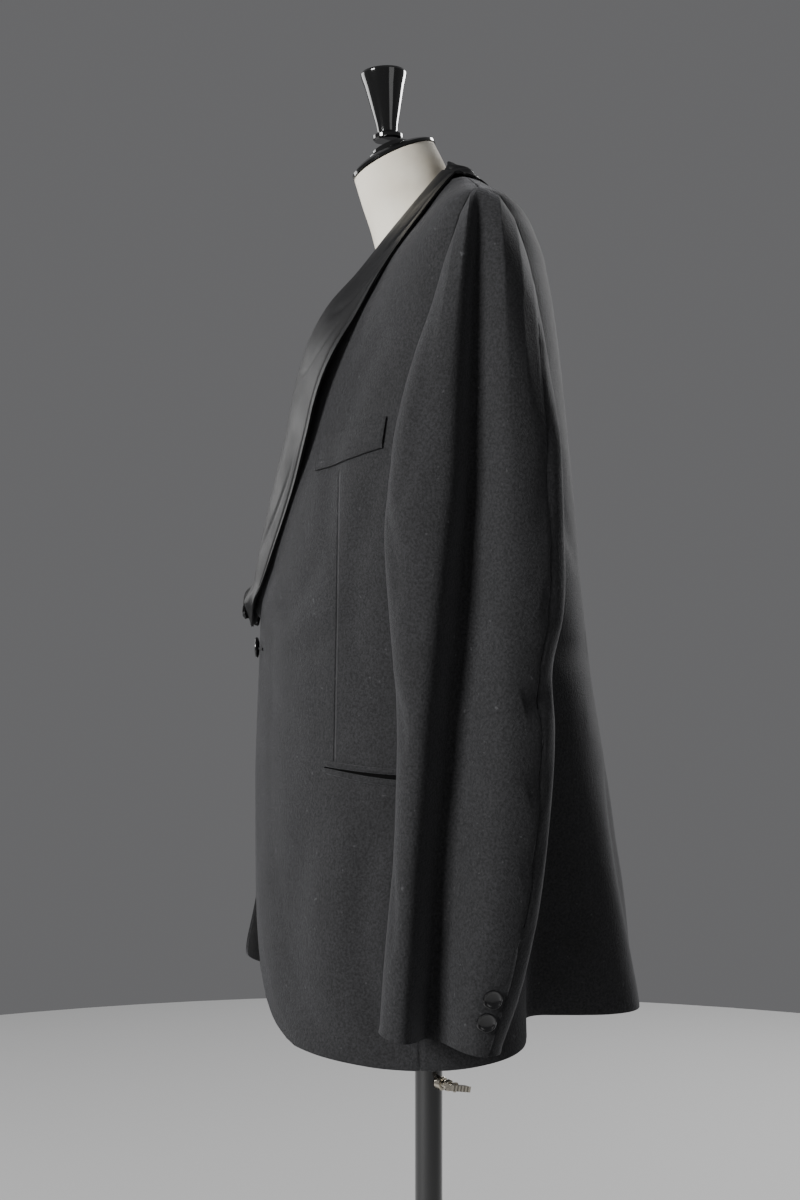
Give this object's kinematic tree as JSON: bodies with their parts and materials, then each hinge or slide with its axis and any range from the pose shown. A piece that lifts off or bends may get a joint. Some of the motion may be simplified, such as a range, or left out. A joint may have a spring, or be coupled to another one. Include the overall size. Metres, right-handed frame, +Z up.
{
  "type": "tuxedo jacket on a dress form",
  "caption": "Black wool dinner jacket with a satin shawl collar, hanging open at the hem on an ivory dress form with a gloss cap, knob, pole and round foot.",
  "frame": {"origin": "on the floor, at the middle of the stand's foot", "axes": "+Z up; the jacket's front faces -Y; the wearer's left side is +X"},
  "size_m": [0.5432, 0.3585, 1.5808],
  "materials": {
    "wool": "matte",
    "satin": "satin",
    "canvas": "matte",
    "button": "gloss",
    "black_lacquer": "gloss",
    "black_metal": "gloss",
    "nickel": "satin"
  },
  "bodies": {
    "stand": {"base": "black_metal", "stand_tube": "black_metal", "screw_boss": "nickel"},
    "rod": {"rod": "black_metal"},
    "form": {"back_left": "wool", "back_right": "wool", "button_cuff_left_1": "button", "button_cuff_left_2": "button", "button_cuff_right_1": "button", "button_cuff_right_2": "button", "button_front": "button", "form_plate": "black_metal", "front_left": "wool", "front_right": "wool", "jet_lower_left": "wool", "jet_lower_right": "wool", "jet_upper_left": "wool", "jet_upper_right": "wool", "knob": "black_lacquer", "lapel_left": "satin", "lapel_right": "satin", "neck_cap": "black_lacquer", "side_left": "wool", "side_right": "wool", "sleeve_top_left": "wool", "sleeve_top_right": "wool", "sleeve_under_left": "wool", "sleeve_under_right": "wool", "torso_form": "canvas", "welt": "wool"},
    "thumb_screw": {"thumb_screw": "nickel"}
  },
  "joints": [
    {"name": "form_height", "type": "slide", "parent": "stand", "child": "rod", "axis": [0, 0, 1], "range_m": [-0.08, 0.15]},
    {"name": "form_swivel", "type": "hinge", "parent": "rod", "child": "form", "pos_m": [0, 0, 0.8239], "axis": [0, 0, 1], "continuous": true},
    {"name": "screw_turn", "type": "hinge", "parent": "stand", "child": "thumb_screw", "pos_m": [0, 0, 0.666], "axis": [0.7071, 0.7071, 0], "continuous": true}
  ]
}
